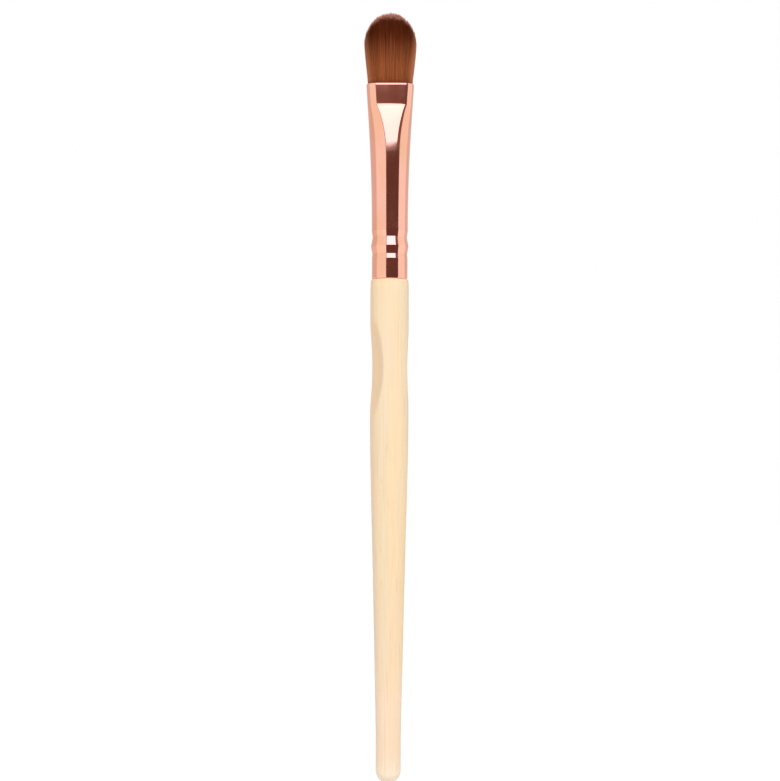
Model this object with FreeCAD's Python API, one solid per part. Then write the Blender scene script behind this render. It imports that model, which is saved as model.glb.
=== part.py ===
import FreeCAD, Part
import math
import os

# A flat eyeshadow brush, standing upright on the axis of its handle, with the tail at the bottom and
# the filaments at the top. The wide face of the tuft looks along -Y, and X runs across it. The origin
# is on the axis, where the tail's straight wall meets its round end. Lengths are in millimetres and
# angles in degrees.

# Bamboo handle
TAIL_RADIUS = 2.775
TAIL_LENGTH = 8.0
TAPER_LENGTH = 69.2
BELLY_RADIUS = 4.23
GRIP_LENGTH = 27.9
SHOULDER_LENGTH = 3.0
SHOULDER_DROP = 0.18
TENON_LENGTH = 13.5

# Scoops that a sanding drum cuts on opposite sides of the grip, for the thumb and a finger
SCOOP_RISE = 11.5
SCOOP_DRUM_RADIUS = 39.0
THUMB_SCOOP_DEPTH = 1.42
FINGER_SCOOP_DEPTH = 1.08
SCOOP_TURN = 67.0

# Ferrule: a drawn metal tube, round at the handle, widened like a cone and then pressed flat up to the mouth
WALL = 0.3
COLLAR_RADIUS = 3.91
COLLAR_LENGTH = 4.5
GROOVE_RISE = 1.08
GROOVE_DEPTH = 0.085
BEAD_RISE = 1.77
BEAD_PROUD = 0.185
CRIMP_RISE = 2.0
CRIMP_DEPTH = 0.14
NECK_RISE = 1.4
NECK_RADIUS = 3.955
FLARE_LENGTH = 32.35
MOUTH_HALF_WIDTH = 5.25
PRESS_RISE = 16.65
PRESS_LENGTH = 10.7
MOUTH_END_RADIUS = 2.5
FACE_TURN = 4.0
TENON_GLUE_FILM = 0.1

# Filament bundle below the mouth, its thread and its glue
ROOT_DEPTH = 13.0
ROOT_RECESS = 0.3
ROOT_CLEARANCE = 0.05
ROOT_GATHER = 0.7
TIE_DEPTH = 9.0
THREAD_BAND = 2.0
THREAD_THICKNESS = 0.25
GLUE_TOP_DEPTH = 4.0
GLUE_BELOW_ROOTS = 5.0

# Free tuft, which turns about a line along X just above the mouth
TUFT_LENGTH = 16.0
TUFT_WIDEST_RISE = 8.8
TUFT_HALF_WIDTH = 5.75
BEND_RISE = 1.1
BUNDLE_CLEARANCE = 0.1
SEAT_CLEARANCE = 0.15

# Numbers that give the curves their form: the powers of the taper, the flare and the press, how far a
# rounded corner pulls towards the square one, and the points and sections along a curve
TAPER_ROUNDING = 6
WIDTH_EASE = (2.1, 1.2)
PRESS_POWER = 1.8
CREST_ROUNDING = 0.1
QUARTER_ELLIPSE = 0.5523
TUFT_DOME = 0.48
TAPER_STEPS = 8
LOFT_STEPS = 8

# How many times wider than the piece a cutting block or drum is
CUTTER_EXCESS = 2

# Heights that follow from the lengths above
belly_z = TAIL_LENGTH + TAPER_LENGTH
scoop_z = belly_z + SCOOP_RISE
shoulder_z = belly_z + GRIP_LENGTH + SHOULDER_LENGTH
tenon_top_z = shoulder_z + TENON_LENGTH
collar_top_z = shoulder_z + COLLAR_LENGTH
groove_z = collar_top_z + GROOVE_RISE
bead_z = groove_z + BEAD_RISE
crimp_z = bead_z + CRIMP_RISE
neck_z = crimp_z + NECK_RISE
press_z = neck_z + PRESS_RISE
flat_z = press_z + PRESS_LENGTH
mouth_z = neck_z + FLARE_LENGTH
root_top_z = mouth_z - ROOT_RECESS
root_butt_z = mouth_z - ROOT_DEPTH
tie_z = mouth_z - TIE_DEPTH
glue_top_z = mouth_z - GLUE_TOP_DEPTH
glue_bottom_z = root_butt_z - GLUE_BELOW_ROOTS
bend_z = mouth_z + BEND_RISE
tuft_widest_z = mouth_z + TUFT_WIDEST_RISE
tuft_tip_z = mouth_z + TUFT_LENGTH

tenon_radius = COLLAR_RADIUS - WALL - TENON_GLUE_FILM
tuft_root_half_width = MOUTH_HALF_WIDTH - WALL - BUNDLE_CLEARANCE
tuft_root_half_depth = MOUTH_END_RADIUS - WALL - BUNDLE_CLEARANCE


def at(radius, z):
    """A point of an outline that is turned about the axis."""
    return FreeCAD.Vector(radius, 0, z)


def line(start, end):
    return Part.LineSegment(start, end).toShape()


def bezier(*poles):
    curve = Part.BezierCurve()
    curve.setPoles(list(poles))
    return curve.toShape()


def half_wave(start, end):
    """A step from one crest or trough of an outline to the next, upright at both and straight between."""
    rounding = CREST_ROUNDING * (end.z - start.z)
    return bezier(start, at(start.x, start.z + rounding), at(end.x, end.z - rounding), end)


def rounded(start, corner, end, pull=QUARTER_ELLIPSE):
    """A curve that leaves start towards the corner and comes to end from it."""
    return bezier(start, start + (corner - start) * pull, end + (corner - end) * pull, end)


def turned(edges):
    """A solid turned about the axis from an outline that closes along the axis."""
    first = edges[0].Vertexes[0].Point
    last = edges[-1].Vertexes[-1].Point
    face = Part.Face(Part.Wire(edges + [line(last, first)]))
    return face.revolve(FreeCAD.Vector(0, 0, 0), FreeCAD.Vector(0, 0, 1), 360)


def slab(low_z, high_z):
    """A block wide enough to slice any piece between two heights."""
    half_side = CUTTER_EXCESS * max(MOUTH_HALF_WIDTH, BELLY_RADIUS)
    corner = FreeCAD.Vector(-half_side, -half_side, low_z)
    return Part.makeBox(2 * half_side, 2 * half_side, high_z - low_z, corner)


def handle():
    """The turned stick with its tenon, then the two scoops."""
    def taper_point(step):
        share = step / TAPER_STEPS
        swell = share + share**TAPER_ROUNDING * (1 - share)
        radius = TAIL_RADIUS + (BELLY_RADIUS - TAIL_RADIUS) * swell
        return at(radius, TAIL_LENGTH + TAPER_LENGTH * share)

    taper = Part.BSplineCurve()
    taper.interpolate([taper_point(step) for step in range(TAPER_STEPS + 1)])
    grip_top_z = shoulder_z - SHOULDER_LENGTH
    shoulder_radius = BELLY_RADIUS - SHOULDER_DROP
    grooved_radius = tenon_radius - GROOVE_DEPTH
    pressed_radius = tenon_radius - CRIMP_DEPTH
    stick = turned([
        rounded(at(0, -TAIL_RADIUS), at(TAIL_RADIUS, -TAIL_RADIUS), at(TAIL_RADIUS, 0)),
        line(at(TAIL_RADIUS, 0), at(TAIL_RADIUS, TAIL_LENGTH)),
        taper.toShape(),
        line(at(BELLY_RADIUS, belly_z), at(BELLY_RADIUS, grip_top_z)),
        rounded(at(BELLY_RADIUS, grip_top_z), at(BELLY_RADIUS, shoulder_z), at(shoulder_radius, shoulder_z)),
        line(at(shoulder_radius, shoulder_z), at(tenon_radius, shoulder_z)),
        line(at(tenon_radius, shoulder_z), at(tenon_radius, collar_top_z)),
        half_wave(at(tenon_radius, collar_top_z), at(grooved_radius, groove_z)),
        half_wave(at(grooved_radius, groove_z), at(tenon_radius, bead_z)),
        half_wave(at(tenon_radius, bead_z), at(pressed_radius, crimp_z)),
        half_wave(at(pressed_radius, crimp_z), at(tenon_radius, neck_z)),
        line(at(tenon_radius, neck_z), at(tenon_radius, tenon_top_z)),
        line(at(tenon_radius, tenon_top_z), at(0, tenon_top_z)),
    ])
    scoops = [
        scoop_drum(-SCOOP_TURN, THUMB_SCOOP_DEPTH),
        scoop_drum(180 - SCOOP_TURN, FINGER_SCOOP_DEPTH),
    ]
    return stick.cut(scoops)


def scoop_drum(turn, depth):
    """The drum that cuts one scoop, on the side that lies turn degrees from the front towards +X."""
    half_width = CUTTER_EXCESS * BELLY_RADIUS
    away = BELLY_RADIUS - depth + SCOOP_DRUM_RADIUS
    end = FreeCAD.Vector(-half_width, -away, scoop_z)
    drum = Part.makeCylinder(SCOOP_DRUM_RADIUS, 2 * half_width, end, FreeCAD.Vector(1, 0, 0))
    drum.rotate(FreeCAD.Vector(0, 0, 0), FreeCAD.Vector(0, 0, 1), turn)
    return drum


def eased(share, powers):
    """Runs from 0 to 1 with its own bend at each end, and stays level beyond them."""
    rise, settle = powers
    within = min(max(share, 0), 1)
    return 1 - (1 - within**rise) ** settle


def flare_oval(z, inset):
    """The tube's section in the flare, moved inwards by inset: an oval of four arcs.

    Its two round ends start as one circle and part where the tube is pressed flat. The front and the
    back are arcs too, nearly straight, that meet the ends at the face's turn.
    """
    share = (z - neck_z) / FLARE_LENGTH
    half_width = NECK_RADIUS + (MOUTH_HALF_WIDTH - NECK_RADIUS) * eased(share, WIDTH_EASE)
    pressed = min(max((z - press_z) / PRESS_LENGTH, 0), 1) ** PRESS_POWER
    parting = (half_width - MOUTH_END_RADIUS) * pressed
    end_radius = half_width - parting - inset
    turn = math.radians(FACE_TURN)
    side = parting + end_radius
    corner = parting + end_radius * math.sin(turn), end_radius * math.cos(turn)
    crown = end_radius + parting * math.tan(turn / 2)

    def arc(*points):
        return Part.Arc(*[FreeCAD.Vector(x, y, z) for x, y in points]).toShape()

    x, y = corner
    return Part.Wire([
        arc((x, -y), (side, 0), (x, y)),
        arc((x, y), (0, crown), (-x, y)),
        arc((-x, y), (-side, 0), (-x, -y)),
        arc((-x, -y), (0, -crown), (x, -y)),
    ])


def flare_loft(low_z, high_z, inset_at):
    """A solid that follows the flare between two heights, inset by a distance that may change.

    It is made in up to three stretches, the cone, the pressed part and the flat mouth.
    """
    stops = [low_z] + [z for z in (press_z, flat_z) if low_z < z < high_z] + [high_z]
    stretches = []
    for start_z, end_z in zip(stops, stops[1:]):
        heights = [start_z + (end_z - start_z) * step / LOFT_STEPS for step in range(LOFT_STEPS + 1)]
        stretches.append(Part.makeLoft([flare_oval(z, inset_at(z)) for z in heights], True, False))
    return stretches[0].fuse(stretches[1:])


def tube(inset):
    """The ferrule as a full solid, inset from its outer face: the round collar and the flare."""
    collar_radius = COLLAR_RADIUS - inset
    groove_radius = collar_radius - GROOVE_DEPTH
    bead_radius = collar_radius + BEAD_PROUD
    crimp_radius = collar_radius - CRIMP_DEPTH
    neck_radius = NECK_RADIUS - inset
    collar = turned([
        line(at(0, shoulder_z), at(collar_radius, shoulder_z)),
        line(at(collar_radius, shoulder_z), at(collar_radius, collar_top_z)),
        half_wave(at(collar_radius, collar_top_z), at(groove_radius, groove_z)),
        half_wave(at(groove_radius, groove_z), at(bead_radius, bead_z)),
        half_wave(at(bead_radius, bead_z), at(crimp_radius, crimp_z)),
        half_wave(at(crimp_radius, crimp_z), at(neck_radius, neck_z)),
        line(at(neck_radius, neck_z), at(0, neck_z)),
    ])
    flare = flare_loft(neck_z, mouth_z, lambda z: inset)
    return collar.fuse(flare)


def gathered(thickness=0):
    """The bundle below the mouth, gathered at the tie and fanned out at its top, grown by thickness."""
    def inset_at(z):
        fan = min(max((z - tie_z) / (root_top_z - tie_z), 0), 1)
        gap = ROOT_GATHER + (ROOT_CLEARANCE - ROOT_GATHER) * fan
        return WALL + gap - thickness

    return flare_loft(root_butt_z, root_top_z, inset_at)


def oval_with_round_end(half_width, half_depth, upper_edges):
    """An oval solid whose lower end is round about the line along X that the tuft bends on.

    The outline of its wide side is turned about the axis and then flattened along Y.
    """
    bottom_z = bend_z - half_depth
    round_end = rounded(at(0, bottom_z), at(half_width, bottom_z), at(half_width, bend_z))
    flatten = FreeCAD.Matrix()
    flatten.scale(1, half_depth / half_width, 1)
    return turned([round_end] + upper_edges).transformGeometry(flatten)


def tuft():
    """The free filaments as one soft block: a round end in the mouth, a flare and a dome."""
    root = at(tuft_root_half_width, bend_z)
    widest = at(TUFT_HALF_WIDTH, tuft_widest_z)
    flare = bezier(root, at(TUFT_HALF_WIDTH, (bend_z + tuft_widest_z) / 2), widest)
    dome = rounded(widest, at(TUFT_HALF_WIDTH, tuft_tip_z), at(0, tuft_tip_z), TUFT_DOME)
    return oval_with_round_end(tuft_root_half_width, tuft_root_half_depth, [flare, dome])


def roots(bundle):
    """The bundle with a seat for the round end of the tuft."""
    half_width = tuft_root_half_width + SEAT_CLEARANCE
    half_depth = tuft_root_half_depth + SEAT_CLEARANCE
    top = line(at(half_width, bend_z), at(0, bend_z))
    return bundle.cut(oval_with_round_end(half_width, half_depth, [top]))


bore = tube(WALL)
stick = handle()
bundle = gathered()
tie_slab = slab(tie_z - THREAD_BAND / 2, tie_z + THREAD_BAND / 2)
thread = gathered(THREAD_THICKNESS).common(tie_slab).cut(bundle)

pieces = {
    "handle": stick,
    "ferrule": tube(0).cut(bore),
    "tenon_glue": bore.common(slab(shoulder_z, tenon_top_z)).cut(stick),
    "bristle_roots": roots(bundle),
    "binding_thread": thread,
    "root_glue": bore.common(slab(glue_bottom_z, glue_top_z)).cut([bundle, thread]),
    "bristle_tuft": tuft(),
}

os.makedirs("parts", exist_ok=True)
for name, shape in pieces.items():
    shape.exportStep(f"parts/{name}.step")
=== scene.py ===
import math

import bpy
import numpy as np
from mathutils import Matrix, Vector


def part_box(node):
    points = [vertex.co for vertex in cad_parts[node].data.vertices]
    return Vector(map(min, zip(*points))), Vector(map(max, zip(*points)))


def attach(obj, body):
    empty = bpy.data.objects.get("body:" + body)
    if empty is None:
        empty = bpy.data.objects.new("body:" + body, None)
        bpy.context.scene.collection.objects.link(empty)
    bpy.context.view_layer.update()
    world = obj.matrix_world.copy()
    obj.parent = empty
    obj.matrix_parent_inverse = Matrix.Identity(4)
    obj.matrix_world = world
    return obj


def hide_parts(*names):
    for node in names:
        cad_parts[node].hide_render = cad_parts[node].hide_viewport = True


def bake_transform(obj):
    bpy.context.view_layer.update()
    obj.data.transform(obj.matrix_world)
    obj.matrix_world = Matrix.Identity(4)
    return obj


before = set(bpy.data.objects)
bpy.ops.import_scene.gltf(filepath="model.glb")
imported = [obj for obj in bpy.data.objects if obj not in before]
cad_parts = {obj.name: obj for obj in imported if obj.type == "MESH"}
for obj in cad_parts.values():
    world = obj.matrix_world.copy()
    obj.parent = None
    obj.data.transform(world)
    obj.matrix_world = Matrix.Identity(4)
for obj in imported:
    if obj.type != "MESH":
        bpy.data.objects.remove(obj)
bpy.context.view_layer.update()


# Bamboo handle
# One stick of bamboo, turned on a lathe to a long taper with a round tail, a straight grip and a thinner
# tenon that goes up into the ferrule. A sanding drum scoops a hold for the thumb and one for a finger on
# opposite sides of the grip, and a satin lacquer seals the wood.
MM = 0.001
TAIL_RADIUS = 2.775 * MM
TAIL_LENGTH = 8.0 * MM
TAPER_LENGTH = 69.2 * MM
TAPER_ROUNDING = 6
BELLY_RADIUS = 4.23 * MM
GRIP_LENGTH = 27.9 * MM
SHOULDER_LENGTH = 3.0 * MM
SHOULDER_DROP = 0.18 * MM
TENON_RADIUS = 3.51 * MM
SCOOP_RISE = 11.5 * MM
SCOOP_DRUM_RADIUS = 39.0 * MM
SCOOP_EDGE = 0.09 * MM
SCOOP_TURN = math.radians(67)
THUMB_SCOOP_DEPTH = 1.42 * MM
FINGER_SCOOP_DEPTH = 1.08 * MM
HANDLE_SIDES = 144
HANDLE_CREASE = math.radians(40)
ROUND_END_STEPS = 16
STRAIGHT_STEPS = 4
TAPER_STEPS = 60
GRIP_STEPS = 80
SHOULDER_STEPS = 12
TAIL_TINT = (26 * MM, 13 * MM)
# Painted light on the tail's round end, against the shade where it stands on the floor: where it starts and
# where it is full.
TAIL_END_PAINTED_LIGHT = (4 * MM, -2 * MM)
# Painted light in the scoops: where it starts and is full on the grip, and how far inside the round it fades
# in.
SCOOP_LIGHT_SPAN = (-2 * MM, 2 * MM)
SCOOP_LIGHT_FADE = 0.25 * MM

belly_z = TAIL_LENGTH + TAPER_LENGTH
scoop_z = belly_z + SCOOP_RISE
grip_top_z = belly_z + GRIP_LENGTH
shoulder_z = grip_top_z + SHOULDER_LENGTH
tenon_top_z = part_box("handle")[1].z


def shares(steps):
    """Even steps from just above 0 up to 1."""
    return [step / steps for step in range(1, steps + 1)]


def draw_rings(name, sides, rings):
    """A tube drawn by extruding and scaling a circle, left in edit mode with its last ring selected.

    Each ring is its radius and its height.
    """
    radius, z = rings[0]
    bpy.ops.object.select_all(action="DESELECT")
    bpy.ops.mesh.primitive_circle_add(vertices=sides, radius=radius, enter_editmode=True)
    bpy.ops.transform.translate(value=(0, 0, z))
    for next_radius, next_z in rings[1:]:
        growth = next_radius / radius
        bpy.ops.mesh.extrude_region_move(TRANSFORM_OT_translate={"value": (0, 0, next_z - z)})
        bpy.ops.transform.resize(value=(growth, growth, 1), center_override=(0, 0, next_z))
        radius, z = next_radius, next_z
    bpy.context.object.name = name
    return bpy.context.object


def close_piece(piece, crease):
    """Turns the faces of a closed piece outwards, leaves edit mode and smooths all but its creases."""
    bpy.ops.mesh.select_all(action="SELECT")
    bpy.ops.mesh.normals_make_consistent(inside=False)
    bpy.ops.object.mode_set(mode="OBJECT")
    bpy.ops.object.shade_smooth_by_angle(angle=crease)


def handle_rings():
    """The lathe's outline from the round tail to the top of the tenon."""
    outline = []
    for share in shares(ROUND_END_STEPS):
        angle = share * math.pi / 2
        outline.append((TAIL_RADIUS * math.sin(angle), -TAIL_RADIUS * math.cos(angle)))
    for share in shares(STRAIGHT_STEPS):
        outline.append((TAIL_RADIUS, TAIL_LENGTH * share))
    for share in shares(TAPER_STEPS):
        swell = share + share**TAPER_ROUNDING * (1 - share)
        radius = TAIL_RADIUS + (BELLY_RADIUS - TAIL_RADIUS) * swell
        outline.append((radius, TAIL_LENGTH + TAPER_LENGTH * share))
    for share in shares(GRIP_STEPS):
        outline.append((BELLY_RADIUS, belly_z + GRIP_LENGTH * share))
    for share in shares(SHOULDER_STEPS):
        angle = share * math.pi / 2
        radius = BELLY_RADIUS - SHOULDER_DROP * (1 - math.cos(angle))
        outline.append((radius, grip_top_z + SHOULDER_LENGTH * math.sin(angle)))
    outline.append((TENON_RADIUS, shoulder_z))
    outline.append((TENON_RADIUS, tenon_top_z))
    return outline


def read_points(piece):
    """A piece's points, as rows of x, y and z."""
    points = np.empty(len(piece.data.vertices) * 3)
    piece.data.vertices.foreach_get("co", points)
    return points.reshape(-1, 3)


def write_points(piece, points):
    """Moves a piece's points to new places."""
    piece.data.vertices.foreach_set("co", points.ravel())
    piece.data.update()


def scoop(piece, turn, depth):
    """Presses the side that lies turn from the front towards +X onto the sanding drum that cut it."""
    points = read_points(piece)
    outwards = np.array([math.sin(turn), -math.cos(turn), 0])
    drum_centre = BELLY_RADIUS - depth + SCOOP_DRUM_RADIUS
    rise = np.clip((points[:, 2] - scoop_z) / SCOOP_DRUM_RADIUS, -1, 1)
    limit = drum_centre - SCOOP_DRUM_RADIUS * np.sqrt(1 - rise**2)
    reach = points @ outwards
    soft_limit = -SCOOP_EDGE * np.logaddexp(-reach / SCOOP_EDGE, -limit / SCOOP_EDGE)
    points += np.outer(soft_limit - reach, outwards)
    write_points(piece, points)


def feed(tree, socket, value):
    """Links a socket from another one, or sets it to a plain value."""
    if isinstance(value, bpy.types.NodeSocket):
        tree.links.new(value, socket)
    else:
        socket.default_value = value


def put(tree, kind, settings=(), **inputs):
    """Adds a shader node with its settings and its inputs, which are named with _ for a space."""
    made = tree.nodes.new("ShaderNode" + kind)
    for name, value in dict(settings).items():
        setattr(made, name, value)
    for name, value in inputs.items():
        feed(tree, made.inputs[name.replace("_", " ")], value)
    return made


def maths(tree, operation, *values):
    """A sum, product or the like of sockets and plain numbers."""
    made = put(tree, "Math", {"operation": operation})
    for socket, value in zip(made.inputs, values):
        feed(tree, socket, value)
    return made.outputs[0]


def blend_colours(tree, share, first, second, way="MIX"):
    """Lays a share of the second colour over the first."""
    made = put(tree, "Mix", {"data_type": "RGBA", "blend_type": way})
    colours = [socket for socket in made.inputs if socket.type == "RGBA"]
    feed(tree, made.inputs[0], share)
    feed(tree, colours[0], first)
    feed(tree, colours[1], second)
    return next(socket for socket in made.outputs if socket.type == "RGBA")


def remap(tree, value, low, high, to_low=0.0, to_high=1.0):
    """Takes a value's range from low to high, with soft ends, to another range."""
    made = put(tree, "MapRange", {"interpolation_type": "SMOOTHSTEP"}, Value=value)
    for name, number in (("From Min", low), ("From Max", high), ("To Min", to_low), ("To Max", to_high)):
        made.inputs[name].default_value = number
    return made.outputs["Result"]


def paint(code):
    """A colour as its six sRGB digits are read, for a socket that takes linear light."""
    parts = [int(code[start : start + 2], 16) / 255 for start in (0, 2, 4)]
    linear = [part / 12.92 if part < 0.04045 else ((part + 0.055) / 1.055) ** 2.4 for part in parts]
    return (*linear, 1.0)


def new_material(name, **inputs):
    """A material of one Principled shader, and its node tree and shader."""
    material = bpy.data.materials.new(name)
    material.use_nodes = True
    tree = material.node_tree
    shader = tree.nodes["Principled BSDF"]
    for socket, value in inputs.items():
        shader.inputs[socket.replace("_", " ")].default_value = value
    return material, tree, shader


def lengthwise_grain():
    """The group behind most finishes: noise on the piece's own coordinates, drawn out along the brush."""
    group = bpy.data.node_groups.new("lengthwise_grain", "ShaderNodeTree")
    for name in ("Across", "Along", "Detail", "Shift"):
        group.interface.new_socket(name, in_out="INPUT", socket_type="NodeSocketFloat")
    group.interface.new_socket("Grain", in_out="OUTPUT", socket_type="NodeSocketFloat")
    taken = group.nodes.new("NodeGroupInput").outputs
    given = group.nodes.new("NodeGroupOutput").inputs
    place = put(group, "TexCoord").outputs["Object"]
    cells = put(group, "CombineXYZ", X=taken["Across"], Y=taken["Across"], Z=taken["Along"]).outputs[0]
    shift = put(group, "CombineXYZ", X=taken["Shift"], Y=taken["Shift"], Z=taken["Shift"]).outputs[0]
    placed = put(group, "VectorMath", {"operation": "MULTIPLY_ADD"})
    for socket, value in zip(placed.inputs, (place, cells, shift)):
        feed(group, socket, value)
    noise = put(group, "TexNoise", Vector=placed.outputs[0], Scale=1.0, Detail=taken["Detail"])
    feed(group, given["Grain"], noise.outputs["Fac"])
    return group


grain = lengthwise_grain()


def stretched_noise(tree, across, along, detail=3.0, shift=0.0):
    """The grain with so many cells to a metre across the brush and along it."""
    placed = put(tree, "Group", {"node_tree": grain}, Across=across, Along=along, Detail=detail, Shift=shift)
    return placed.outputs["Grain"]


def bamboo():
    """Pale wood with broad tints, fine straight fibres, painted light that makes the scoops paler and warmer
    and the tail's end paler, and a satin lacquer.
    """
    material, tree, shader = new_material("bamboo", Coat_Weight=0.25, Coat_Roughness=0.22, IOR=1.48)
    tint = stretched_noise(tree, across=260, along=14, detail=2.0)
    blush = stretched_noise(tree, across=180, along=22, detail=2.0, shift=3.7)
    fibre = stretched_noise(tree, across=3600, along=45, detail=4.0, shift=1.3)
    dash = stretched_noise(tree, across=5200, along=130, detail=1.0, shift=8.1)
    place = put(tree, "TexCoord").outputs["Object"]
    height = put(tree, "SeparateXYZ", Vector=place).outputs["Z"]
    colour = blend_colours(tree, remap(tree, tint, 0.35, 0.65), paint("f3dcb9"), paint("fbdcaf"))
    colour = blend_colours(tree, remap(tree, blush, 0.5, 0.7, to_high=0.6), colour, paint("f6d9bf"))
    tail = remap(tree, height, *TAIL_TINT, to_high=0.7)
    colour = blend_colours(tree, tail, colour, paint("fde0c4"))
    # Painted light: the round end of the tail turns paler, against the shade where it meets the floor.
    tail_end_painted_light = remap(tree, height, *TAIL_END_PAINTED_LIGHT, to_high=0.6)
    colour = blend_colours(tree, tail_end_painted_light, colour, paint("fff0dc"))
    # Painted light: both scoops on the grip blend to a paler, warmer colour, which stands in for light on
    # their shaded faces.
    across = put(tree, "VectorMath", {"operation": "MULTIPLY"})
    feed(tree, across.inputs[0], place)
    feed(tree, across.inputs[1], (1, 1, 0))
    from_axis = put(tree, "VectorMath", {"operation": "LENGTH"})
    feed(tree, from_axis.inputs[0], across.outputs[0])
    scoop_painted_light = remap(tree, from_axis.outputs["Value"], BELLY_RADIUS, BELLY_RADIUS - SCOOP_LIGHT_FADE)
    grip_from, grip_full = SCOOP_LIGHT_SPAN
    grip = remap(tree, height, belly_z + grip_from, belly_z + grip_full, to_high=0.55)
    colour = blend_colours(tree, maths(tree, "MULTIPLY", scoop_painted_light, grip), colour, paint("ffd6ab"))
    colour = blend_colours(tree, remap(tree, fibre, 0.45, 0.72, to_high=0.3), colour, paint("e6c292"))
    colour = blend_colours(tree, remap(tree, dash, 0.7, 0.76, to_high=0.3), colour, paint("b98a58"))
    tree.links.new(colour, shader.inputs["Base Color"])
    tree.links.new(remap(tree, fibre, 0.3, 0.7, 0.4, 0.5), shader.inputs["Roughness"])
    ridges = put(tree, "Bump", Strength=0.12, Distance=0.03 * MM, Height=fibre)
    tree.links.new(ridges.outputs[0], shader.inputs["Normal"])
    return material


handle = draw_rings("bamboo_handle", HANDLE_SIDES, handle_rings())
bpy.ops.mesh.select_all(action="SELECT")
bpy.ops.mesh.fill_holes(sides=0)
close_piece(handle, HANDLE_CREASE)
scoop(handle, -SCOOP_TURN, THUMB_SCOOP_DEPTH)
scoop(handle, math.pi - SCOOP_TURN, FINGER_SCOOP_DEPTH)
handle.data.materials.append(bamboo())
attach(handle, "brush_body")
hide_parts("handle")


# Ferrule
# A thin tube of drawn metal with mirror-bright rose-gold plating. It is rolled round the tenon, where a
# wheel presses a groove, a bead and a crimp into it to lock the handle, and its far end is pressed flat
# and wide round the filaments, with the edge of the mouth turned in.
WALL = 0.3 * MM
COLLAR_RADIUS = 3.91 * MM
COLLAR_LENGTH = 4.5 * MM
GROOVE_RISE = 1.08 * MM
GROOVE_DEPTH = 0.085 * MM
BEAD_RISE = 1.77 * MM
BEAD_PROUD = 0.185 * MM
CRIMP_RISE = 2.0 * MM
CRIMP_DEPTH = 0.14 * MM
CREST_ROUNDING = 0.1
NECK_RISE = 1.4 * MM
NECK_RADIUS = 3.955 * MM
FLARE_LENGTH = 32.35 * MM
MOUTH_HALF_WIDTH = 5.25 * MM
WIDTH_EASE = (2.1, 1.2)
PRESS_RISE = 16.65 * MM
PRESS_LENGTH = 10.7 * MM
PRESS_POWER = 1.8
PRESS_SOFT = 0.006
MOUTH_END_RADIUS = 2.5 * MM
FACE_TURN = math.radians(4)
LIP_HEIGHT = 0.17 * MM
LIP_INSET = 0.22 * MM
HEM_HEIGHT = 0.5 * MM
HEM_INSET = 0.29 * MM
RUBBED_BAND = 1.6 * MM
PRESS_EDGE = 0.1 * MM
FERRULE_SIDES = 192
FERRULE_CREASE = math.radians(50)
HEM_STEPS = 8
COLLAR_STEPS = 6
WAVE_STEPS = 16
FLARE_STEPS = (40, 44, 6, 14)
LIP_STEPS = 10
INSIDE_STRIDE = 3

collar_top_z = shoulder_z + COLLAR_LENGTH
groove_z = collar_top_z + GROOVE_RISE
bead_z = groove_z + BEAD_RISE
crimp_z = bead_z + CRIMP_RISE
neck_z = crimp_z + NECK_RISE
press_z = neck_z + PRESS_RISE
flat_z = press_z + PRESS_LENGTH
mouth_z = neck_z + FLARE_LENGTH


def eased(share, powers):
    """Runs from 0 to 1 with its own bend at each end."""
    rise, settle = powers
    return 1 - (1 - share**rise) ** settle


def half_width_at(z):
    """Half the tube's width in the flare, where it widens like a cone."""
    share = np.clip((z - neck_z) / FLARE_LENGTH, 0, 1)
    return NECK_RADIUS + (MOUTH_HALF_WIDTH - NECK_RADIUS) * eased(share, WIDTH_EASE)


def parting_at(z):
    """How far the press has moved the tube's two round ends from the axis, with a soft start and end."""
    share = (z - press_z) / PRESS_LENGTH
    started = PRESS_SOFT * np.logaddexp(0, share / PRESS_SOFT)
    pressed = -PRESS_SOFT * np.logaddexp(-started / PRESS_SOFT, -1 / PRESS_SOFT)
    return (half_width_at(z) - MOUTH_END_RADIUS) * np.clip(pressed, 0, 1) ** PRESS_POWER


def flare_ring(z, inset=0.0):
    """The radius of the tube's round ends at a height in the flare, and the height."""
    return half_width_at(z) - parting_at(z) - inset, z


def press_flat(piece):
    """Moves the two round halves of the drawn tube apart and bridges them with nearly flat faces."""
    points = read_points(piece)
    parting = parting_at(points[:, 2])
    across, depth = points[:, 0], points[:, 1]
    turn = np.arctan2(across, np.abs(depth))
    face = np.clip(np.sin(turn) / math.sin(FACE_TURN), -1, 1)
    crown = np.clip(np.cos(turn) - math.cos(FACE_TURN), 0, 1) / math.sin(FACE_TURN)
    points[:, 0] = across + parting * face
    points[:, 1] = depth + parting * crown * np.sign(depth)
    write_points(piece, points)


def rolled_wave(low, high):
    """Rings of a step between two crests or troughs of the rolled part, upright at both."""
    (low_radius, low_z), (high_radius, high_z) = low, high
    rings = []
    for share in shares(WAVE_STEPS):
        step = share * share * (3 - 2 * share)
        height = 3 * share * (1 - share) * (CREST_ROUNDING + (1 - 2 * CREST_ROUNDING) * share) + share**3
        rings.append((low_radius + (high_radius - low_radius) * step, low_z + (high_z - low_z) * height))
    return rings


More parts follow.
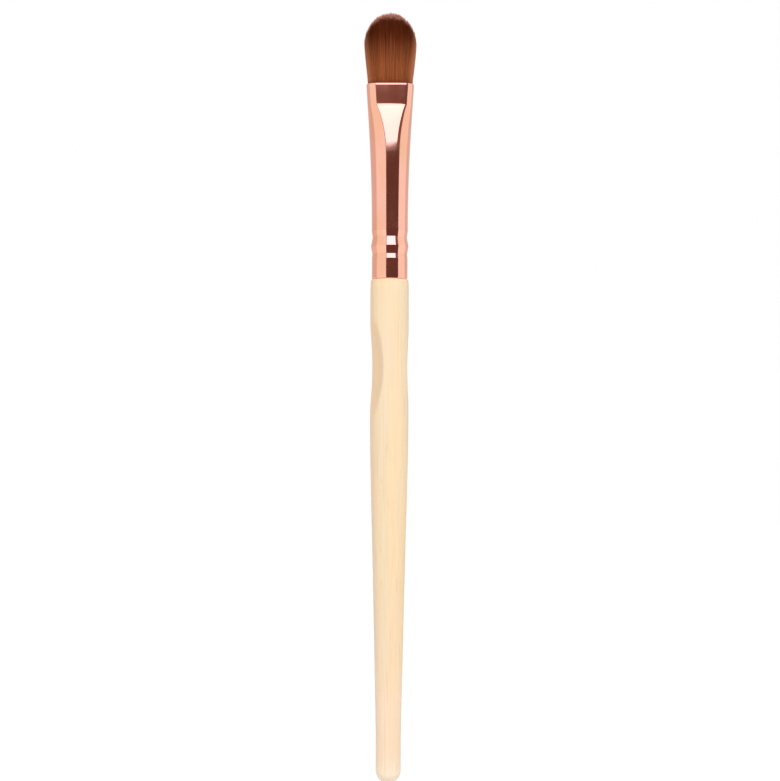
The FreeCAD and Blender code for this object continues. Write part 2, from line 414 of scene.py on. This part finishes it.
def ferrule_rings():
    """The outside from the hem on the handle's shoulder to the turned-in lip, then the inside down again."""
    crests = [
        (COLLAR_RADIUS, collar_top_z),
        (COLLAR_RADIUS - GROOVE_DEPTH, groove_z),
        (COLLAR_RADIUS + BEAD_PROUD, bead_z),
        (COLLAR_RADIUS - CRIMP_DEPTH, crimp_z),
        (NECK_RADIUS, neck_z),
    ]
    outside = []
    for share in [0.0] + shares(HEM_STEPS):
        angle = share * math.pi / 2
        radius = COLLAR_RADIUS - HEM_INSET * (1 - math.sin(angle))
        outside.append((radius, shoulder_z + HEM_HEIGHT * (1 - math.cos(angle))))
    hem_top_z = shoulder_z + HEM_HEIGHT
    for share in shares(COLLAR_STEPS):
        outside.append((COLLAR_RADIUS, hem_top_z + (collar_top_z - hem_top_z) * share))
    for low, high in zip(crests, crests[1:]):
        outside += rolled_wave(low, high)
    stretches = [neck_z, press_z, flat_z - PRESS_EDGE, flat_z + PRESS_EDGE, mouth_z - LIP_HEIGHT]
    for low_z, high_z, steps in zip(stretches, stretches[1:], FLARE_STEPS):
        outside += [flare_ring(low_z + (high_z - low_z) * share) for share in shares(steps)]
    lip = []
    for share in shares(LIP_STEPS):
        angle = share * math.pi / 2
        lip_z = mouth_z - LIP_HEIGHT * (1 - math.sin(angle))
        lip.append(flare_ring(lip_z, LIP_INSET * (1 - math.cos(angle))))
    inside = [(radius - WALL, z) for radius, z in outside[::-INSIDE_STRIDE]]
    return outside + lip + inside + [(COLLAR_RADIUS - WALL, shoulder_z)]


def rose_gold():
    """Mirror-bright plating with faint clouds of handling, pressed waves and a rub where the press bit."""
    material, tree, shader = new_material("rose_gold", Metallic=1.0)
    clouds = stretched_noise(tree, across=420, along=160, detail=5.0)
    waves = stretched_noise(tree, across=300, along=240, detail=1.0, shift=2.9)
    tarnish = stretched_noise(tree, across=200, along=75, detail=2.0, shift=5.3)
    colour = blend_colours(tree, remap(tree, tarnish, 0.38, 0.62), paint("fdbfa9"), paint("f9bb9c"))
    tree.links.new(colour, shader.inputs["Base Color"])
    height = put(tree, "SeparateXYZ", Vector=put(tree, "TexCoord").outputs["Object"]).outputs["Z"]
    rubbed = maths(
        tree, "MULTIPLY",
        remap(tree, height, press_z - RUBBED_BAND, press_z + RUBBED_BAND, to_high=0.09),
        remap(tree, height, press_z + 2 * RUBBED_BAND, press_z + RUBBED_BAND),
    )
    polish = remap(tree, clouds, 0.35, 0.75, 0.05, 0.1)
    tree.links.new(maths(tree, "ADD", polish, rubbed), shader.inputs["Roughness"])
    dents = put(tree, "Bump", Strength=0.25, Distance=0.02 * MM, Height=waves)
    tree.links.new(dents.outputs[0], shader.inputs["Normal"])
    return material


ferrule = draw_rings("ferrule_tube", FERRULE_SIDES, ferrule_rings())
bpy.ops.mesh.select_all(action="DESELECT")
bpy.ops.mesh.select_non_manifold()
bpy.ops.mesh.bridge_edge_loops()
close_piece(ferrule, FERRULE_CREASE)
press_flat(ferrule)
ferrule.data.materials.append(rose_gold())
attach(ferrule, "brush_body")
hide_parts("ferrule")


# Glue
# Two fills of amber epoxy, poured in and left to cure: a thin film that holds the tenon in the ferrule,
# and a plug that locks the tied butt ends of the filaments.
def epoxy():
    """Clear amber resin with faint clouds where it cured unevenly."""
    material, tree, shader = new_material("epoxy", Roughness=0.2, IOR=1.55)
    clouds = stretched_noise(tree, across=600, along=600, detail=4.0)
    colour = blend_colours(tree, remap(tree, clouds, 0.3, 0.7), paint("cfa55a"), paint("b98a3f"))
    tree.links.new(colour, shader.inputs["Base Color"])
    return material


def dress(node, material):
    """Gives a piece that keeps its construction shape its finish."""
    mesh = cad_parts[node].data
    mesh.materials.clear()
    mesh.materials.append(material)


resin = epoxy()
dress("tenon_glue", resin)
dress("root_glue", resin)


# Binding thread
# Undyed cotton thread, wound tight round the bundle of filaments before it goes into the ferrule. The glue
# that is poured in after it seals its turns.
def cotton():
    """Undyed cotton, with the thread's turns as fine bands round the bundle."""
    material, tree, shader = new_material("cotton_thread", Roughness=0.85, Sheen_Weight=0.3)
    place = put(tree, "TexCoord").outputs["Object"]
    turns = put(tree, "TexWave", {"bands_direction": "Z"}, Vector=place, Scale=900.0, Distortion=0.4)
    colour = blend_colours(tree, turns.outputs["Fac"], paint("b9ab8c"), paint("e4dcc6"))
    tree.links.new(colour, shader.inputs["Base Color"])
    ridges = put(tree, "Bump", Strength=0.6, Distance=0.08 * MM, Height=turns.outputs["Fac"])
    tree.links.new(ridges.outputs[0], shader.inputs["Normal"])
    return material


dress("binding_thread", cotton())


# Filament roots
# The lower half of the same synthetic filaments, packed in the ferrule from the mouth down to their butt
# ends, where the thread ties them and the glue holds them.
def packed_filaments():
    """Chestnut filaments seen from outside as a tight bundle of fine upright lines."""
    material, tree, shader = new_material("packed_filaments", Roughness=0.5)
    lines = stretched_noise(tree, across=7000, along=60, detail=2.0)
    colour = blend_colours(tree, remap(tree, lines, 0.35, 0.65), paint("5a2c16"), paint("93542e"))
    tree.links.new(colour, shader.inputs["Base Color"])
    ridges = put(tree, "Bump", Strength=0.5, Distance=0.05 * MM, Height=lines)
    tree.links.new(ridges.outputs[0], shader.inputs["Normal"])
    return material


dress("bristle_roots", packed_filaments())


# Free tuft
# Thousands of fine synthetic filaments, chestnut with dark-dipped ends, each drawn out to a soft point.
# They are set in a cup before gluing, so that their tips make a flat dome, and they spring at the mouth.
FILAMENTS = 3400
FILAMENT_RADIUS = 0.057 * MM
FILAMENT_SIDES = 3
FILAMENT_RINGS = 10
TIP_RADIUS_SHARE = 0.25
TAPER_FROM = 0.62
ROOT_DEPTH = 0.7 * MM
ROOT_HALF_WIDTH = 4.88 * MM
ROOT_END_RADIUS = 2.13 * MM
TUFT_HALF_WIDTH = 5.82 * MM
TUFT_HALF_DEPTH = 2.5 * MM
WIDEST_RISE = 8.9 * MM
TUFT_LENGTH = 15.95 * MM
DOME_POWERS = (2.12, 0.555)
FACE_DROP = 1.0 * MM
CHISEL = 0.3
FAN_POWER = 1.15
BOW = 0.08 * MM
SHORTFALL = 0.27 * MM
WISPS_ACROSS = 58
WISPS_DEEP = 5
WISP_SHORTFALL = 0.4 * MM
RING_CROWDING = 1.5
CLUMPS = 220
CLUMP_PULL = 0.1
DYE_RISE = 4.2 * MM
DYE_LENGTH = 6.4 * MM
DYE_RAGGED = 0.1
DYE_FULL = 0.8
# Painted light in the tuft's rim: the share of its width where it starts, and the tone above which it shows.
RIM_FROM = 0.76
RIM_TONE = 0.7
TURN_SCATTER = 0.01
PLACE_SCATTER = 0.008
LEAST_PULL = 0.3
BOW_RETURN = 0.4
CLUMP_TONE = 0.4
LEAST_RIM = 0.7
RAGGED_SHARE = 0.7
PALE_TIP_POWER = 0.25
TAPER_POWER = 1.4
THICKNESS_SPREAD = 0.15
SHADE_SPREAD = 0.08
TONE_MARGIN = 0.02
DYE_MARGIN = 0.01
MAP_NUDGE = 0.004

wisps = WISPS_DEEP * WISPS_ACROSS
rng = np.random.default_rng(11)
ring_share = 1 - (1 - np.linspace(0, 1, FILAMENT_RINGS)) ** RING_CROWDING


def planted():
    """Where each filament stands in the round bundle, from -1 to 1 each way, and the wisp that it joins."""
    order = np.arange(FILAMENTS)
    outwards = np.sqrt((order + 0.5) / FILAMENTS)
    turn = order * math.pi * (3 - math.sqrt(5)) + rng.normal(0, TURN_SCATTER, FILAMENTS)
    place = np.stack([outwards * np.cos(turn), outwards * np.sin(turn)], 1)
    place += rng.normal(0, PLACE_SCATTER, place.shape)
    wisp_row = np.floor((place[:, 1].clip(-1, 0.999) + 1) / 2 * WISPS_DEEP)
    wisp_column = np.floor((place[:, 0].clip(-1, 0.999) + 1) / 2 * WISPS_ACROSS)
    return place, (wisp_row * WISPS_ACROSS + wisp_column).astype(int)


def ring_heights(place, aside, wisp):
    """The heights of each filament's rings, from its root in the mouth to its tip on the dome."""
    spread, settle = DOME_POWERS
    tip_z = mouth_z + WIDEST_RISE + (TUFT_LENGTH - WIDEST_RISE) * (1 - aside**spread) ** settle
    tip_z -= FACE_DROP * place[:, 1] ** 2 + rng.exponential(SHORTFALL, FILAMENTS)
    tip_z -= WISP_SHORTFALL * rng.uniform(0, 1, wisps)[wisp]
    root_z = mouth_z - ROOT_DEPTH
    return root_z + np.outer(tip_z - root_z, ring_share)


def gathered(place):
    """The clump that draws each filament in, and where the filament then stands at each of its rings."""
    clump_place = place[rng.choice(FILAMENTS, CLUMPS, replace=False)]
    clump = np.argmin(((place[:, None] - clump_place[None]) ** 2).sum(2), 1)
    pull = CLUMP_PULL * np.outer(rng.uniform(LEAST_PULL, 1, CLUMPS)[clump], ring_share**2)
    return clump, place[:, None] + (clump_place[clump] - place)[:, None] * pull[:, :, None]


def fanned_out(drawn, aside, z):
    """Each filament's middle line: the bundle leaves the oval mouth, fans out and closes to a blunt edge."""
    fan = 1 - (1 - np.clip((z - mouth_z) / WIDEST_RISE, 0, 1)) ** FAN_POWER
    close = np.clip((z - mouth_z - WIDEST_RISE) / (TUFT_LENGTH - WIDEST_RISE), 0, 1) ** 2
    oval = np.sqrt(np.clip(1 - aside**2, 0.01, 1))
    end_reach = np.clip((aside * ROOT_HALF_WIDTH - ROOT_HALF_WIDTH) / ROOT_END_RADIUS + 1, 0, 1)
    root_depth = ROOT_END_RADIUS * np.sqrt(1 - end_reach**2) / oval
    half_width = ROOT_HALF_WIDTH + (TUFT_HALF_WIDTH - ROOT_HALF_WIDTH) * fan
    half_depth = root_depth[:, None] + (TUFT_HALF_DEPTH - root_depth[:, None]) * fan
    half_depth *= 1 - (1 - CHISEL) * close
    bow_share = ring_share * (1 - BOW_RETURN * ring_share)
    bow = rng.normal(0, BOW, (FILAMENTS, 1, 2)) * bow_share[None, :, None]
    x = drawn[:, :, 0] * half_width + bow[:, :, 0]
    y = drawn[:, :, 1] * half_depth + bow[:, :, 1]
    return np.stack([x, y, z], 2)


def filament_tones(aside, clump):
    """Each filament's tone from dark to pale, and in the thin rim of the tuft paler tones that are painted
    light, for light shining through it.
    """
    own_tone = CLUMP_TONE * rng.uniform(0, 1, CLUMPS)[clump]
    own_tone += (1 - CLUMP_TONE) * rng.uniform(0, 1, FILAMENTS)
    rim = np.clip((aside - RIM_FROM) / (1 - RIM_FROM), 0, 1)
    rim_painted_light = RIM_TONE + (1 - RIM_TONE) * rim * (LEAST_RIM + (1 - LEAST_RIM) * own_tone)
    return np.where(rim > 0, rim_painted_light, RIM_TONE * own_tone)


def filament_dye(z, clump, wisp):
    """The dye at each ring: none at 0, all of it at DYE_FULL, and a pale point at 1."""
    ragged = rng.normal(0, DYE_RAGGED, CLUMPS)[clump] + rng.normal(0, DYE_RAGGED, FILAMENTS)
    dye = np.clip((z - mouth_z - DYE_RISE) / DYE_LENGTH + RAGGED_SHARE * ragged[:, None], 0, 1)
    dye *= DYE_FULL
    dye[:, -1] += (1 - DYE_FULL) * rng.uniform(0, 1, wisps)[wisp] ** PALE_TIP_POWER
    return dye


def filament_points(lines):
    """The points round each filament's middle line, thinner towards its tip."""
    taper = np.clip((ring_share - TAPER_FROM) / (1 - TAPER_FROM), 0, 1)
    thickness = 1 - (1 - TIP_RADIUS_SHARE) * taper**TAPER_POWER
    own_thickness = rng.uniform(1 - THICKNESS_SPREAD, 1 + THICKNESS_SPREAD, FILAMENTS)
    radius = FILAMENT_RADIUS * np.outer(own_thickness, thickness)
    side_turn = np.arange(FILAMENT_SIDES) * 2 * math.pi / FILAMENT_SIDES
    angle = rng.uniform(0, math.pi, (FILAMENTS, 1)) + side_turn
    ring = np.stack([np.cos(angle), np.sin(angle), np.zeros_like(angle)], 2)
    return lines[:, :, None] + radius[:, :, None, None] * ring[:, None]


def filament_faces():
    """The walls and the two ends of every filament, by the numbers of its points."""
    side = np.arange(FILAMENT_SIDES)
    low, along = np.meshgrid(side, np.arange(FILAMENT_RINGS - 1))
    low, along = low.ravel(), along.ravel()
    high = (low + 1) % FILAMENT_SIDES
    walls = np.stack([
        along * FILAMENT_SIDES + low,
        along * FILAMENT_SIDES + high,
        (along + 1) * FILAMENT_SIDES + high,
        (along + 1) * FILAMENT_SIDES + low,
    ], 1)
    last = (FILAMENT_RINGS - 1) * FILAMENT_SIDES
    starts = np.arange(FILAMENTS) * FILAMENT_RINGS * FILAMENT_SIDES
    faces = []
    for shape in (walls, side[None, ::-1], last + side[None]):
        faces += (starts[:, None, None] + shape[None]).reshape(-1, shape.shape[1]).tolist()
    return faces


def filament_mesh():
    """All the filaments as one mesh, and a map of it that runs by tone across and by dye upwards."""
    place, wisp = planted()
    aside = np.clip(np.abs(place[:, 0]), 0, 1)
    z = ring_heights(place, aside, wisp)
    clump, drawn = gathered(place)
    lines = fanned_out(drawn, aside, z)
    tone = filament_tones(aside, clump)
    dye = filament_dye(z, clump, wisp)
    faces = filament_faces()
    mesh = bpy.data.meshes.new("filaments")
    mesh.from_pydata(filament_points(lines).reshape(-1, 3).tolist(), [], faces)
    tone_map = mesh.uv_layers.new(name="OFBake")
    vertex = np.concatenate([np.array(face) for face in faces])
    nudge = (vertex % FILAMENT_SIDES - 1) * MAP_NUDGE
    ring_number = vertex // FILAMENT_SIDES
    across = TONE_MARGIN + (1 - 2 * TONE_MARGIN) * tone[ring_number // FILAMENT_RINGS] + nudge
    upwards = DYE_MARGIN + (1 - 2 * DYE_MARGIN) * dye.ravel()[ring_number]
    tone_map.uv.foreach_set("vector", np.stack([across, upwards], 1).astype(np.float32).ravel())
    mesh.shade_smooth()
    return mesh


def filament_finish():
    """Chestnut, then dark dye, then a paler, redder point, with the thin rim of the tuft lit through."""
    material, tree, shader = new_material(
        "filament", Roughness=0.55, IOR=1.5, Specular_IOR_Level=0.15, Specular_Tint=paint("f0b49a")
    )
    spot = put(tree, "SeparateXYZ", Vector=put(tree, "UVMap", {"uv_map": "OFBake"}).outputs[0])
    tone, dye = spot.outputs["X"], spot.outputs["Y"]
    dips = put(tree, "ValToRGB", Fac=dye)
    dips.color_ramp.elements.new(DYE_FULL)
    stops = ((0.0, "ae6239"), (DYE_FULL, "64280d"), (1.0, "ffb49c"))
    for element, (place, code) in zip(dips.color_ramp.elements, stops):
        element.position = place
        element.color = paint(code)
    shade = remap(tree, tone, 0.0, RIM_TONE, 1 - SHADE_SPREAD, 1 + SHADE_SPREAD)
    lit = put(tree, "CombineXYZ", X=shade, Y=shade, Z=shade).outputs[0]
    colour = blend_colours(tree, 1.0, dips.outputs["Color"], lit, way="MULTIPLY")
    # Painted light: rim filaments blend towards a pale red, standing in for light shining through the thin
    # edge of the tuft.
    colour = blend_colours(tree, remap(tree, tone, RIM_TONE, 1.0, to_high=0.55), colour, paint("e8a684"))
    tree.links.new(colour, shader.inputs["Base Color"])
    return material


filaments = bpy.data.objects.new("tuft_filaments", filament_mesh())
bpy.context.scene.collection.objects.link(filaments)
filaments.data.materials.append(filament_finish())
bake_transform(filaments)
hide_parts("bristle_tuft")


# Studio
# A white sweep under soft daylight and a large upright lamp high in front, whose cool white cloth shows in
# the metal. A dark card stands behind the lamp and its foot lies along the floor, which the polished ferrule
# mirrors as a dark stripe, and a second card does the same for the back.
FLOOR_SIZE = 8.0
CAMERA_DISTANCE = 550 * MM
CAMERA_HEIGHT = 62.0 * MM
CAMERA_ASIDE = 0.22 * MM
CAMERA_ROLL = math.radians(-0.175)
PICTURE_MIDDLE = 83.7 * MM
PICTURE_HEIGHT = 36.0
LENS = 115.0
CARD_DISTANCE = 2.2
CARD_FOOT = 0.02
FOOT_LIFT = 0.2 * MM
BACK_CARD_RISE = 0.1
CARD_LEFT = math.radians(-23.5)
CARD_RIGHT = math.radians(57)
CARD_DARK = (0.128, 0.06, 0.051, 1.0)
CARD_PALE = (0.24, 0.127, 0.112, 1.0)
CARD_FADE = (0.33, 0.47)
LAMP_DISTANCE = 1.2
LAMP_AIM_DROP = 0.25 * FLARE_LENGTH
LAMP_LEFT = math.radians(-20.5)
LAMP_RIGHT = math.radians(38.5)
LAMP_BOTTOM = math.radians(10.6)
LAMP_TOP = math.radians(56)
LAMP_GLOW = 2.25
CLOTH_LOW = (1.7, 1.72, 2.25, 1.0)
CLOTH_HIGH = (1.8, 2.0, 2.5, 1.0)
DAYLIGHT_LEFT = 0.7035
DAYLIGHT_RIGHT = 0.6566
PAPER_LIT = (0.9, 0.9, 0.9, 1.0)
PAPER_SEEN = (0.3, 0.3, 0.3, 1.0)
PAPER_GLOW = 0.81
WHITE = (1.0, 1.0, 1.0, 1.0)
BEHIND = (0.765, 0.666, 0.65, 1.0)
BEHIND_WAY = (-0.2, 0.98, 0.0)
BEHIND_FROM = 0.1
BEHIND_TO = 0.38
floor_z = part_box("handle")[0].z
flare_z = mouth_z - LAMP_AIM_DROP


def around(turn, distance, z):
    """A place so far from the brush, turned from the camera's side towards the right of the picture."""
    return distance * math.sin(turn), -distance * math.cos(turn), z


def fading_card(name, fade, low, high):
    """A finish that shows its own colour, whatever the light, from a low one to a high one."""
    material = bpy.data.materials.new(name)
    material.use_nodes = True
    tree = material.node_tree
    height = put(tree, "SeparateXYZ", Vector=put(tree, "TexCoord").outputs["Object"]).outputs["Z"]
    colour = blend_colours(tree, remap(tree, height, *fade), low, high)
    light = put(tree, "Emission", Color=colour)
    tree.links.new(light.outputs[0], tree.nodes["Material Output"].inputs["Surface"])
    return material


def ray_kinds(tree):
    """1 for what metal and glass show, and 1 for what the camera sees, straight or in them."""
    path = put(tree, "LightPath").outputs
    mirrored = maths(tree, "MAXIMUM", path["Is Glossy Ray"], path["Is Transmission Ray"])
    return mirrored, maths(tree, "MAXIMUM", path["Is Camera Ray"], mirrored)


def backdrop(tree, way, mirrored):
    """White, and in mirrors a little dimmer and warmer behind the brush."""
    towards_back = put(tree, "VectorMath", {"operation": "DOT_PRODUCT"})
    feed(tree, towards_back.inputs[0], way)
    feed(tree, towards_back.inputs[1], BEHIND_WAY)
    behind = remap(tree, towards_back.outputs["Value"], BEHIND_FROM, BEHIND_TO)
    return blend_colours(tree, maths(tree, "MULTIPLY", behind, mirrored), WHITE, BEHIND)


def white_floor():
    """White paper that looks fully white but still takes the brush's shadow."""
    material = bpy.data.materials.new("white_floor")
    material.use_nodes = True
    tree = material.node_tree
    shader = tree.nodes["Principled BSDF"]
    shader.inputs["Base Color"].default_value = PAPER_LIT
    shader.inputs["Roughness"].default_value = 1.0
    shader.inputs["Specular IOR Level"].default_value = 0.0
    mirrored, seen = ray_kinds(tree)
    spot = put(tree, "TexCoord").outputs["Object"]
    way = put(tree, "VectorMath", {"operation": "NORMALIZE"})
    feed(tree, way.inputs[0], spot)
    paper = put(tree, "BsdfDiffuse", Color=PAPER_SEEN)
    white = put(tree, "Emission", Color=backdrop(tree, way.outputs[0], mirrored), Strength=PAPER_GLOW)
    bright = put(tree, "AddShader")
    tree.links.new(paper.outputs[0], bright.inputs[0])
    tree.links.new(white.outputs[0], bright.inputs[1])
    mixed = put(tree, "MixShader", Fac=seen)
    tree.links.new(shader.outputs[0], mixed.inputs[1])
    tree.links.new(bright.outputs[0], mixed.inputs[2])
    tree.links.new(mixed.outputs[0], tree.nodes["Material Output"].inputs["Surface"])
    return material


def mirrored_card(name, finish, *corners):
    """A flat card between four corners that only polished surfaces show."""
    mesh = bpy.data.meshes.new(name)
    mesh.from_pydata(corners, [], [(0, 1, 2, 3)])
    mesh.materials.append(finish)
    card = bpy.data.objects.new(name, mesh)
    bpy.context.scene.collection.objects.link(card)
    card.visible_camera = False
    card.visible_diffuse = False
    card.visible_transmission = False
    card.visible_shadow = False


def daylight():
    """An even white sky that shows as plain white, a little dimmer in mirrors behind the brush."""
    world = bpy.data.worlds.new("daylight")
    bpy.context.scene.world = world
    world.use_nodes = True
    tree = world.node_tree
    way = put(tree, "TexCoord").outputs["Generated"]
    mirrored, seen = ray_kinds(tree)
    sideways = put(tree, "SeparateXYZ", Vector=way).outputs["X"]
    lights = remap(tree, sideways, -1.0, 1.0, DAYLIGHT_LEFT, DAYLIGHT_RIGHT)
    level = maths(tree, "MAXIMUM", seen, lights)
    background = tree.nodes["Background"]
    feed(tree, background.inputs["Strength"], level)
    feed(tree, background.inputs["Color"], backdrop(tree, way, mirrored))


bpy.ops.object.select_all(action="DESELECT")
bpy.ops.mesh.primitive_plane_add(size=FLOOR_SIZE, location=(0, 0, floor_z))
floor = bpy.context.object
floor.name = "floor"
floor.data.materials.append(white_floor())

dark_card = fading_card("dark_card", CARD_FADE, CARD_DARK, CARD_PALE)
card_top_z = flare_z + CARD_DISTANCE * math.tan(LAMP_TOP)
foot_z = floor_z + FOOT_LIFT
back_card_top_z = mouth_z + BACK_CARD_RISE
mirrored_card(
    "front_card", dark_card,
    around(CARD_LEFT, CARD_DISTANCE, floor_z),
    around(CARD_RIGHT, CARD_DISTANCE, floor_z),
    around(CARD_RIGHT, CARD_DISTANCE, card_top_z),
    around(CARD_LEFT, CARD_DISTANCE, card_top_z),
)
mirrored_card(
    "card_foot", dark_card,
    around(CARD_LEFT, CARD_FOOT, foot_z),
    around(CARD_RIGHT, CARD_FOOT, foot_z),
    around(CARD_RIGHT, CARD_DISTANCE, foot_z),
    around(CARD_LEFT, CARD_DISTANCE, foot_z),
)
mirrored_card(
    "back_card", dark_card,
    around(math.pi - CARD_LEFT / 2, CAMERA_DISTANCE, floor_z),
    around(math.pi + CARD_LEFT / 2, CAMERA_DISTANCE, floor_z),
    around(math.pi + CARD_LEFT / 2, CAMERA_DISTANCE, back_card_top_z),
    around(math.pi - CARD_LEFT / 2, CAMERA_DISTANCE, back_card_top_z),
)

lamp_bottom_z = flare_z + LAMP_DISTANCE * math.tan(LAMP_BOTTOM)
lamp_top_z = flare_z + LAMP_DISTANCE * math.tan(LAMP_TOP)
lamp_turn = (LAMP_LEFT + LAMP_RIGHT) / 2
lamp_data = bpy.data.lights.new("soft_lamp", "AREA")
lamp_data.shape = "RECTANGLE"
lamp_data.size = 2 * LAMP_DISTANCE * math.tan((LAMP_RIGHT - LAMP_LEFT) / 2)
lamp_data.size_y = lamp_top_z - lamp_bottom_z
lamp_data.energy = LAMP_GLOW * math.pi * lamp_data.size * lamp_data.size_y
lamp = bpy.data.objects.new("soft_lamp", lamp_data)
bpy.context.scene.collection.objects.link(lamp)
lamp.location = around(lamp_turn, LAMP_DISTANCE, (lamp_bottom_z + lamp_top_z) / 2)
lamp.rotation_euler = (math.pi / 2, 0, lamp_turn)
lamp.visible_camera = False
lamp.visible_glossy = False
cloth_reach = LAMP_DISTANCE / math.cos(LAMP_RIGHT - lamp_turn)
mirrored_card(
    "lamp_cloth", fading_card("lamp_cloth", (lamp_bottom_z, lamp_top_z), CLOTH_LOW, CLOTH_HIGH),
    around(LAMP_LEFT, cloth_reach, lamp_bottom_z),
    around(LAMP_RIGHT, cloth_reach, lamp_bottom_z),
    around(LAMP_RIGHT, cloth_reach, lamp_top_z),
    around(LAMP_LEFT, cloth_reach, lamp_top_z),
)

daylight()

camera_data = bpy.data.cameras.new("camera")
camera_data.sensor_fit = "VERTICAL"
camera_data.sensor_height = PICTURE_HEIGHT
camera_data.lens = LENS
camera_data.shift_y = (PICTURE_MIDDLE - CAMERA_HEIGHT) / CAMERA_DISTANCE * LENS / PICTURE_HEIGHT
camera_data.clip_start = 0.01
camera = bpy.data.objects.new("camera", camera_data)
bpy.context.scene.collection.objects.link(camera)
camera.location = (CAMERA_ASIDE, -CAMERA_DISTANCE, CAMERA_HEIGHT)
camera.rotation_euler = (math.pi / 2, CAMERA_ROLL, 0)
bpy.context.scene.camera = camera
bpy.context.scene.view_settings.view_transform = "Standard"
